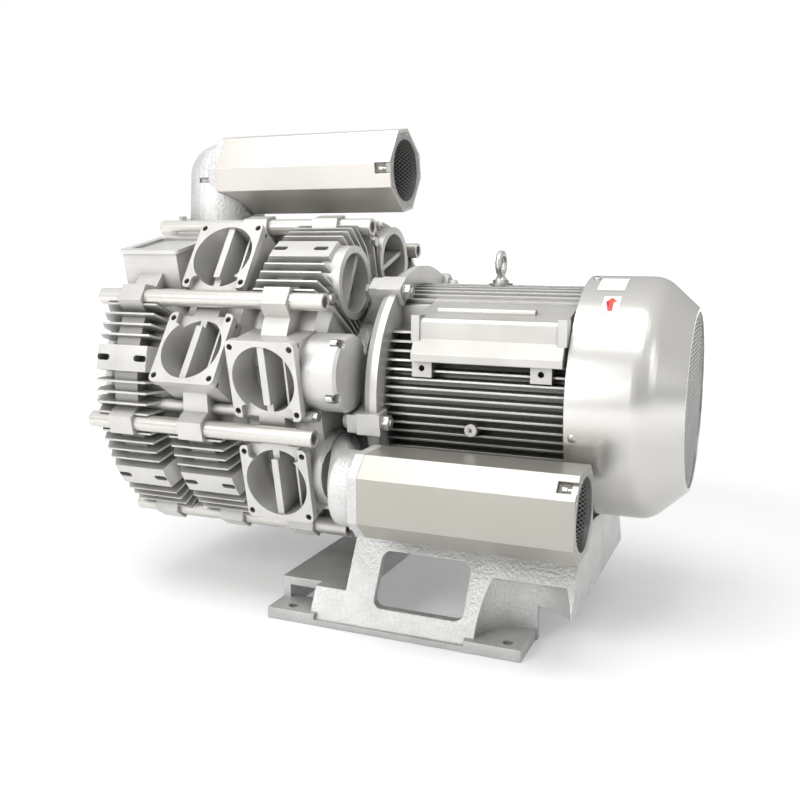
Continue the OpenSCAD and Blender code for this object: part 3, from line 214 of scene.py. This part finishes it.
def perforated(name, light, hole, around, along):
    """Round sheet tube along X with staggered holes painted near black as painted shade: periods round the
    tube and along it.
    """
    mat, nodes, shader, coords = start_material(name)
    box = nodes.add("ShaderNodeTexCoord").outputs["Generated"]
    split = nodes.add("ShaderNodeSeparateXYZ")
    nodes.link(box, split.inputs[0])
    across = nodes.math("SUBTRACT", split.outputs["Y"], 0.5)
    up = nodes.math("SUBTRACT", split.outputs["Z"], 0.5)
    turn = nodes.math("ARCTAN2", up, across)
    ring = nodes.math("COSINE", nodes.math("MULTIPLY", turn, around))
    row = nodes.math("COSINE", nodes.math("MULTIPLY", split.outputs["X"], 2 * math.pi * along))
    open_part = nodes.ramp(nodes.math("MULTIPLY", ring, row), 0.1, 0.3)
    # The holes are only colour: a near-black painted shade stands where openings would show shade behind the
    # sheet.
    nodes.link(nodes.mix(open_part, light, hole), shader.inputs["Base Color"])
    shader.inputs["Metallic"].default_value = 0.6
    fine = nodes.noise(coords, 700, 3.0)
    nodes.link(nodes.ramp(fine, 0.2, 0.8, 0.3, 0.45), shader.inputs["Roughness"])
    finish_bump(nodes, shader, fine, 0.0001)
    return mat


def plastic(name, light, dark, rough, grain=900, bump=0.0001):
    mat, nodes, shader, coords = start_material(name)
    cloud = nodes.ramp(nodes.noise(coords, 30), 0.3, 0.7)
    nodes.link(nodes.mix(cloud, light, dark), shader.inputs["Base Color"])
    fine = nodes.noise(coords, grain, 3.0)
    nodes.link(nodes.ramp(fine, 0.2, 0.8, rough * 0.85, rough * 1.15), shader.inputs["Roughness"])
    finish_bump(nodes, shader, fine, bump)
    return mat


CAST = metal("cast_silver", (0.63, 0.62, 0.595), (0.55, 0.54, 0.515), 0.4, 0.34,
             grain=420, bump=0.0003, blotch=18, crevice_shade=0.85, crevice_shade_dist=0.017, edge=0.8)
MOTOR = metal("motor_silver", (0.54, 0.53, 0.505), (0.48, 0.47, 0.445), 0.6, 0.38,
              grain=420, bump=0.00015, blotch=18, crevice_shade=0.92, crevice_shade_dist=0.035, edge=0.8)
ROUGH = metal("rough_silver", (0.68, 0.68, 0.67), (0.57, 0.57, 0.56), 0.45, 0.42,
              grain=230, bump=0.0016, blotch=22, crevice_shade=0.6, crevice_shade_dist=0.04,
              edge=0.6, edge_r=0.002, speckle=0.3)
INNER = metal("inner_casting", (0.56, 0.555, 0.54), (0.46, 0.455, 0.44), 0.6, 0.42,
              grain=300, bump=0.0005, blotch=20, crevice_shade=0.8, crevice_shade_dist=0.03, edge=0.6)
SHEET = dict(grain=1500, blotch=6, crevice_shade=0.4, crevice_shade_dist=0.015, edge=0.8, edge_r=0.0018)
SATIN = metal("satin_silver", (0.66, 0.645, 0.61), (0.61, 0.595, 0.56), 0.65, 0.3, bump=0.00005, **SHEET)
COWL = metal("cowl_silver", (0.62, 0.61, 0.585), (0.58, 0.57, 0.545), 0.85, 0.25, bump=0.00004, **SHEET)
# The two silencer skins are one paint: the lower silencer's copy is made darker, painted shade.
SHADED_LOWER_SKIN = metal("lower_silencer_painted_shade", (0.41, 0.395, 0.36), (0.385, 0.37, 0.335), 0.65, 0.32,
                   bump=0.00005, **SHEET)
UPPER_SKIN = metal("upper_silencer_silver", (0.62, 0.60, 0.56), (0.58, 0.56, 0.52), 0.6, 0.32,
                   bump=0.00005, **SHEET)
END_RING = metal("end_ring_grey", (0.40, 0.40, 0.39), (0.33, 0.33, 0.32), 0.7, 0.35,
                 grain=700, bump=0.0001, blotch=40, crevice_shade=0.5, crevice_shade_dist=0.01, edge=0.8)
PERFORATED = perforated("perforated_sheet", (0.44, 0.44, 0.43), (0.012, 0.012, 0.012), 48, 37)
STEEL = metal("bright_steel", (0.62, 0.615, 0.60), (0.50, 0.495, 0.48), 0.85, 0.32,
              grain=700, bump=0.0001, blotch=60, crevice_shade=0.5, crevice_shade_dist=0.004)
DARK = metal("dark_steel", (0.10, 0.10, 0.105), (0.06, 0.06, 0.062), 0.6, 0.45,
             grain=600, bump=0.0002, blotch=40)
GRILLE = metal("grille_grey", (0.42, 0.42, 0.41), (0.34, 0.34, 0.335), 0.6, 0.4,
               grain=800, bump=0.0001, blotch=30)
COPPER = metal("varnished_copper", (0.55, 0.26, 0.10), (0.40, 0.17, 0.07), 0.8, 0.35,
               grain=300, bump=0.0006, blotch=50, brushed=(1.0, 6.0, 6.0))
BLACK = plastic("black_plastic", (0.045, 0.045, 0.048), (0.03, 0.03, 0.032), 0.5)
RUBBER = plastic("seal_rubber", (0.03, 0.03, 0.03), (0.02, 0.02, 0.02), 0.7)
WOOL = plastic("mineral_wool", (0.42, 0.40, 0.34), (0.28, 0.27, 0.24), 0.95, grain=1200, bump=0.002)
LABEL = plastic("label_white", (0.86, 0.85, 0.83), (0.80, 0.79, 0.77), 0.45, grain=300, bump=0.00002)
RED = plastic("label_red", (0.70, 0.07, 0.05), (0.62, 0.06, 0.05), 0.45, grain=300, bump=0.00002)

SLOT_LOOK = {
    "cast_aluminium": CAST, "rough_casting": ROUGH, "inner_casting": INNER, "satin_sheet": SATIN,
    "bright_steel": STEEL, "dark_steel": DARK, "copper_wire": COPPER, "black_plastic": BLACK,
    "seal_rubber": RUBBER, "mineral_wool": WOOL,
}
NODE_LOOK = {
    "motor_frame": MOTOR, "fan_cowl": COWL,
    "inlet_silencer_body": UPPER_SKIN, "outlet_silencer_body": SHADED_LOWER_SKIN,
    "inlet_silencer_ring": END_RING, "outlet_silencer_ring": END_RING,
    "inlet_silencer_liner": PERFORATED, "outlet_silencer_liner": PERFORATED,
}
for part in frame["record"]["subparts"]:
    look = NODE_LOOK.get(part["node"], SLOT_LOOK[part["material_slot"]])
    node = frame["nodes"][part["node"]]
    node.data.materials.clear()
    node.data.materials.append(look)


# Floor, world and lights

def studio():
    half = 30
    corners = [(-half, -half, 0), (half, -half, 0), (half, half, 0), (-half, half, 0)]
    mesh = bpy.data.meshes.new("floor")
    mesh.from_pydata(corners, [], [(0, 1, 2, 3)])
    floor = bpy.data.objects.new("floor", mesh)
    bpy.context.collection.objects.link(floor)
    floor.location.z = -0.0005
    mat, nodes, shader, coords = start_material("floor_white")
    tone = nodes.ramp(nodes.noise(coords, 3), 0.3, 0.7)
    nodes.link(nodes.mix(tone, (0.88, 0.88, 0.88), (0.86, 0.86, 0.86)), shader.inputs["Base Color"])
    shader.inputs["Roughness"].default_value = 0.9
    shader.inputs["Emission Color"].default_value = (1, 1, 1, 1)
    # The floor glows more away from the machine, so it stays white up to the horizon
    reach = nodes.add("ShaderNodeVectorMath", operation="LENGTH")
    nodes.link(coords, reach.inputs[0])
    glow = nodes.ramp(reach.outputs["Value"], 0.8, 2.4, 0.22, 1.0)
    nodes.link(glow, shader.inputs["Emission Strength"])
    floor.data.materials.append(mat)

    world = bpy.data.worlds.new("studio")
    bpy.context.scene.world = world
    world.use_nodes = True
    nodes = Nodes(world.node_tree)
    back = world.node_tree.nodes["Background"]
    rays = nodes.add("ShaderNodeLightPath")
    shown = nodes.math("MAXIMUM", rays.outputs["Is Camera Ray"], rays.outputs["Is Transmission Ray"])
    direction = nodes.add("ShaderNodeTexCoord").outputs["Generated"]
    split = nodes.add("ShaderNodeSeparateXYZ")
    nodes.link(direction, split.inputs[0])
    height = nodes.ramp(split.outputs["Z"], -0.3, 0.9, 0.30, 1.0)
    glossy = nodes.math("MULTIPLY", rays.outputs["Is Glossy Ray"], height)
    plain = nodes.math("MULTIPLY", height, 0.55)
    other = nodes.math("MAXIMUM", plain, glossy)
    nodes.link(nodes.math("MAXIMUM", shown, other), back.inputs["Strength"])
    back.inputs["Color"].default_value = (1, 1, 1, 1)

    def lamp(name, place, aim, size_x, size_y, power):
        data = bpy.data.lights.new(name, "AREA")
        data.shape = "RECTANGLE"
        data.size, data.size_y = size_x, size_y
        data.energy = power
        obj = bpy.data.objects.new(name, data)
        bpy.context.collection.objects.link(obj)
        obj.location = place
        obj.rotation_mode = "QUATERNION"
        obj.rotation_quaternion = (Vector(aim) - Vector(place)).to_track_quat("-Z", "Y")

    lamp("top", (-0.2, -0.7, 2.6), (0, 0, 0.3), 2.2, 1.4, 38)
    lamp("front_left", (-1.1, -2.3, 1.6), (0.1, 0, 0.3), 1.3, 1.0, 22)
    lamp("right", (2.6, -1.0, 1.6), (0.2, 0, 0.3), 1.0, 1.6, 6)
    lamp("front", (-0.6, -2.4, 0.9), (-0.25, 0, 0.3), 0.8, 0.8, 7)


studio()


# Labels on the fan cowl: two blank plates, one with a plain arrow

def on_cowl(x, angle, lift):
    """Point on the cowl at a place along the shaft, in metres, and an angle above the front."""
    r = COWL_R + lift
    a = math.radians(angle)
    return Vector((x, -r * math.cos(a), AXIS_H + r * math.sin(a)))


def cowl_patch(name, outline, mat, lift, thick=0.0002):
    """Thin curved sticker. outline lists (x, arc length) points of a flat shape."""
    bm = bmesh.new()
    verts = [bm.verts.new((x, s, 0)) for x, s in outline]
    bm.faces.new(verts)
    bmesh.ops.triangulate(bm, faces=bm.faces[:])
    for _ in range(3):
        bmesh.ops.subdivide_edges(bm, edges=bm.edges[:], cuts=1, use_grid_fill=True)
    for v in bm.verts:
        v.co = on_cowl(v.co.x, math.degrees(v.co.y / COWL_R), lift)
    bmesh.ops.recalc_face_normals(bm, faces=bm.faces[:])
    mesh = bpy.data.meshes.new(name)
    bm.to_mesh(mesh)
    bm.free()
    obj = bpy.data.objects.new(name, mesh)
    bpy.context.collection.objects.link(obj)
    obj.data.materials.append(mat)
    solid = obj.modifiers.new("thick", "SOLIDIFY")
    solid.thickness = thick
    solid.offset = 0
    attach(obj, "frame")


def rectangle(x0, x1, angle0, angle1):
    s0, s1 = (math.radians(a) * COWL_R for a in (angle0, angle1))
    return [(x0, s0), (x1, s0), (x1, s1), (x0, s1)]


PLATE_LIFT = 0.0004
ARROW_LIFT = 0.0007
ARROW_X = 0.256
SHAFT_HALF = 0.0028
HEAD_HALF = 0.007
cowl_patch("arrow_plate", rectangle(0.245, 0.267, 48, 59), LABEL, PLATE_LIFT)
tip = math.radians(58) * COWL_R
foot = math.radians(49) * COWL_R
neck = tip - 0.009
cowl_patch("arrow", [(ARROW_X - SHAFT_HALF, foot), (ARROW_X + SHAFT_HALF, foot), (ARROW_X + SHAFT_HALF, neck),
                     (ARROW_X + HEAD_HALF, neck), (ARROW_X, tip), (ARROW_X - HEAD_HALF, neck),
                     (ARROW_X - SHAFT_HALF, neck)], RED, ARROW_LIFT)
cowl_patch("blank_plate", rectangle(0.232, 0.268, 64, 79), LABEL, PLATE_LIFT)


# Places on the machine, by the same rules as the solids

def at_angle(angle, x, across, out):
    """Point from its place along the shaft, across a radial direction and out along it."""
    a = math.radians(angle)
    y = across * math.sin(a) - out * math.cos(a)
    z = AXIS_H + across * math.cos(a) + out * math.sin(a)
    return Vector((x, y, z))


def on_silencer(spec, x, radius, angle):
    """Point in a silencer's cross-section, at an angle from the back towards the top."""
    t = math.radians(angle + spec["turn"])
    return Vector((x, spec["y"] + radius * math.cos(t), spec["z"] + radius * math.sin(t)))


def facing(place, axis):
    """Matrix that puts a local +Z piece at a place, looking along an axis."""
    turn = Vector(axis).normalized().to_track_quat("Z", "Y")
    return Matrix.Translation(Vector(place)) @ turn.to_matrix().to_4x4()


def regular(count, radius, turn=0.0):
    """Corners of a regular flat shape."""
    angles = [2 * math.pi * k / count + turn for k in range(count)]
    return [(radius * math.cos(a), radius * math.sin(a)) for a in angles]


def lathe(profile, steps=32):
    """Closed mesh turned from (radius, height) points, first and last on the axis."""
    bm = bmesh.new()
    rings = []
    for r, z in profile:
        if r < 1e-7:
            rings.append([bm.verts.new((0, 0, z))])
        else:
            rings.append([bm.verts.new((x, y, z)) for x, y in regular(steps, r)])
    for low, high in zip(rings, rings[1:]):
        for k in range(steps):
            n = (k + 1) % steps
            if len(low) == 1:
                bm.faces.new((low[0], high[n], high[k]))
            elif len(high) == 1:
                bm.faces.new((low[k], low[n], high[0]))
            else:
                bm.faces.new((low[k], low[n], high[n], high[k]))
    bmesh.ops.recalc_face_normals(bm, faces=bm.faces[:])
    return bm


def prism(points, z0, z1):
    """Closed mesh pulled up from flat points."""
    bm = bmesh.new()
    low = [bm.verts.new((x, y, z0)) for x, y in points]
    high = [bm.verts.new((x, y, z1)) for x, y in points]
    bm.faces.new(low)
    bm.faces.new(high)
    for k in range(len(points)):
        n = (k + 1) % len(points)
        bm.faces.new((low[k], low[n], high[n], high[k]))
    bmesh.ops.recalc_face_normals(bm, faces=bm.faces[:])
    return bm


def as_mesh(bm, name="part"):
    mesh = bpy.data.meshes.new(name)
    bm.to_mesh(mesh)
    bm.free()
    return mesh


def combine(base, tool, operation):
    """Mesh of one boolean step between two meshes."""
    objs = [bpy.data.objects.new("step", mesh) for mesh in (base, tool)]
    for obj in objs:
        bpy.context.collection.objects.link(obj)
    step = objs[0].modifiers.new("step", "BOOLEAN")
    step.operation = operation
    step.solver = "EXACT"
    step.object = objs[1]
    bpy.context.view_layer.update()
    shaped = objs[0].evaluated_get(bpy.context.evaluated_depsgraph_get())
    mesh = bpy.data.meshes.new_from_object(shaped)
    for obj in objs:
        bpy.data.objects.remove(obj)
    return mesh


def cross_points(half, arm):
    """Corners of a flat cross."""
    return [(half, -arm), (half, arm), (arm, arm), (arm, half), (-arm, half), (-arm, arm), (-half, arm),
            (-half, -arm), (-arm, -arm), (-arm, -half), (arm, -half), (arm, -arm)]


def pan_head(r, h):
    """Domed screw head with a cross recess, resting on z = 0."""
    dome = [(0, 0), (r, 0), (r, 0.18 * h)]
    dome += [(r * math.cos(t), 0.18 * h + 0.82 * h * math.sin(t)) for t in (0.35, 0.7, 1.05, 1.35)]
    dome += [(0, h)]
    recess = prism(cross_points(0.58 * r, 0.15 * r), 0.45 * h, 1.5 * h)
    return combine(as_mesh(lathe(dome)), as_mesh(recess), "DIFFERENCE")


def socket_head(r, h):
    """Socket screw head with a hexagon recess, resting on z = 0."""
    body = [(0, 0), (r, 0), (r, 0.86 * h), (0.88 * r, h), (0, h)]
    recess = prism(regular(6, 0.6 * r), 0.4 * h, 1.5 * h)
    return combine(as_mesh(lathe(body)), as_mesh(recess), "DIFFERENCE")


def hex_head(across, h, end=0.0):
    """Hexagon head with a chamfered top on a washer, and a stub of thread past it."""
    r = across / 2 / math.cos(math.pi / 6)
    cone = [(0, -0.001), (r + 0.001, -0.001), (r + 0.001, 0.78 * h), (0.86 * r, h), (0, h)]
    head = combine(as_mesh(prism(regular(6, r), 0, h + 0.001)), as_mesh(lathe(cone, 48)), "INTERSECT")
    bm = bmesh.new()
    bm.from_mesh(head)
    washer = [(0, 0), (1.12 * r, 0), (1.14 * r, 0.0004), (1.14 * r, 0.0014), (1.1 * r, 0.0018), (0, 0.0018)]
    bm.from_mesh(as_mesh(lathe(washer, 40)))
    if end:
        stub = [(0, h - 0.001), (end, h - 0.001), (end, h + 0.0012), (0.8 * end, h + 0.0024), (0, h + 0.0024)]
        bm.from_mesh(as_mesh(lathe(stub)))
    return as_mesh(bm)


def group(name, mesh, places, stands_for=None):
    """One steel object that repeats a mesh at many places."""
    bm = bmesh.new()
    for place in places:
        copy = mesh.copy()
        copy.transform(place)
        bm.from_mesh(copy)
        bpy.data.meshes.remove(copy)
    obj = bpy.data.objects.new(name, as_mesh(bm, name))
    bpy.context.collection.objects.link(obj)
    obj.data.materials.clear()
    obj.data.materials.append(STEEL)
    for poly in obj.data.polygons:
        poly.use_smooth = True
        poly.material_index = 0
    obj.data.set_sharp_from_angle(angle=math.radians(30))
    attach(obj, "frame")
    if stands_for:
        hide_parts(stands_for)


# Screws and bolts with their recesses and chamfers

RIGHT = (1, 0, 0)
LEFT = (-1, 0, 0)
FRONT = (0, -1, 0)

cowl_places = []
for quarter in range(4):
    angle = STAGE_ANGLE + 90 * quarter
    spot = at_angle(angle, COWL_LEFT + 0.011, 0, COWL_R - 0.0004)
    cowl_places.append(facing(spot, at_angle(angle, 0, 0, 1) - at_angle(angle, 0, 0, 0)))
group("cowl_screw_heads", pan_head(0.0055, 0.0033), cowl_places, "cowl_screws")

CAP_ANGLE = STAGE_ANGLE + 22.5
CAP_SCREW_R = 0.051
cap_places = []
for turn in (45, 135, 225, 315):
    t = math.radians(turn)
    spot = at_angle(CAP_ANGLE, STAGE_END + BLIND_CAP_T, CAP_SCREW_R * math.sin(t),
                    AXIAL_PORT_R - CAP_SCREW_R * math.cos(t))
    cap_places.append(facing(spot, RIGHT))
group("blind_cap_socket_screws", socket_head(0.0055, 0.009), cap_places, "blind_cap_screws")

corner_places = []
for spec in SILENCERS:
    for corner in spec["corners"]:
        spot = on_silencer(spec, spec["left"] - 0.013, 0.057, 90 + corner)
        corner_places.append(facing(spot, LEFT))
group("silencer_cap_screws", pan_head(0.0035, 0.0045), corner_places, "silencer_screws")

nut_places = [facing(at_angle(a, LUG_END, 0, LUG_R), RIGHT) for a in LUG_ANGLES]
head_places = [facing(at_angle(a, LANTERN_FACE, 0, LUG_R), LEFT) for a in LUG_ANGLES]
group("lantern_nuts", hex_head(0.019, 0.010, 0.006), nut_places, "lantern_bolts")
group("lantern_bolt_heads", hex_head(0.019, 0.008), head_places)


# Small screws at the open ends of the silencers and the drain plug

END_R = 0.0535
END_SCREW_DEPTH = 0.005
RIVET_SPREAD = 29
rivet_places = []
end_places = []
for spec in SILENCERS:
    right = spec["left"] + spec["length"]
    for side in (0, 90, 180, 270):
        for step in (-RIVET_SPREAD, RIVET_SPREAD):
            rivet_places.append(facing(on_silencer(spec, right - 0.0001, END_R, side + step), RIGHT))
    end_places.append(facing(on_silencer(spec, right - END_SCREW_DEPTH, END_R, spec["notch"]), LEFT))
rivet = [(0, 0), (0.0021, 0), (0.0021, 0.0003), (0.0016, 0.0010), (0.0008, 0.0013), (0, 0.0014)]
group("end_ring_rivets", as_mesh(lathe(rivet, 16)), rivet_places)
end_screw = [(0, 0), (0.003, 0), (0.003, 0.0075), (0.0046, 0.0075), (0.0046, 0.0135), (0.0038, 0.0145),
             (0.0021, 0.0145), (0.0021, 0.0110), (0, 0.0110)]
group("end_ring_screws", as_mesh(lathe(end_screw, 24)), end_places)

plug = [(0, -0.012), (0.0043, -0.012), (0.0043, 0.0002), (0.0031, 0.0002), (0.0027, -0.006), (0, -0.006)]
group("drain_plug_socket", as_mesh(lathe(plug, 24)), [facing(PLUG_FACE, FRONT)], "drain_plug")


# Fine perforated plate behind the cowl's opening

def fine_grille():
    hole_r, pitch = 0.0026, 0.0066
    holes_r, rim_r = 0.117, 0.1228
    x0, thick = 0.3515, 0.002
    row_pitch = pitch * 0.866
    bm = bmesh.new()

    def flat(points, cy=0.0, cz=0.0):
        return [bm.verts.new((x0, cy + x, AXIS_H + cz + y)) for x, y in points]

    rows = int(holes_r / row_pitch) + 1
    for row in range(-rows, rows + 1):
        for col in range(-rows - 2, rows + 3):
            cy = (col + 0.5 * (row % 2)) * pitch
            cz = row * row_pitch
            if math.hypot(cy, cz) > holes_r - 0.6 * pitch:
                continue
            outer = flat(regular(6, pitch / math.sqrt(3), math.pi / 6), cy, cz)
            hole = flat(regular(12, hole_r, math.pi / 6), cy, cz)
            for k in range(6):
                n = (k + 1) % 6
                near = (hole[(2 * k + 2) % 12], hole[(2 * k + 1) % 12], hole[2 * k])
                bm.faces.new((outer[k], outer[n]) + near)
    bmesh.ops.remove_doubles(bm, verts=bm.verts[:], dist=0.00002)
    steps = 96
    edge = flat(regular(steps, rim_r))
    ring = flat(regular(steps, holes_r - 1.15 * pitch))
    for k in range(steps):
        n = (k + 1) % steps
        bm.faces.new((edge[k], edge[n], ring[n], ring[k]))
    bmesh.ops.recalc_face_normals(bm, faces=bm.faces[:])
    obj = bpy.data.objects.new("air_grille_plate", as_mesh(bm, "air_grille_plate"))
    bpy.context.collection.objects.link(obj)
    obj.data.materials.append(GRILLE)
    solid = obj.modifiers.new("thick", "SOLIDIFY")
    solid.thickness = thick
    solid.offset = 0
    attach(obj, "frame")
    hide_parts("air_grille")


fine_grille()
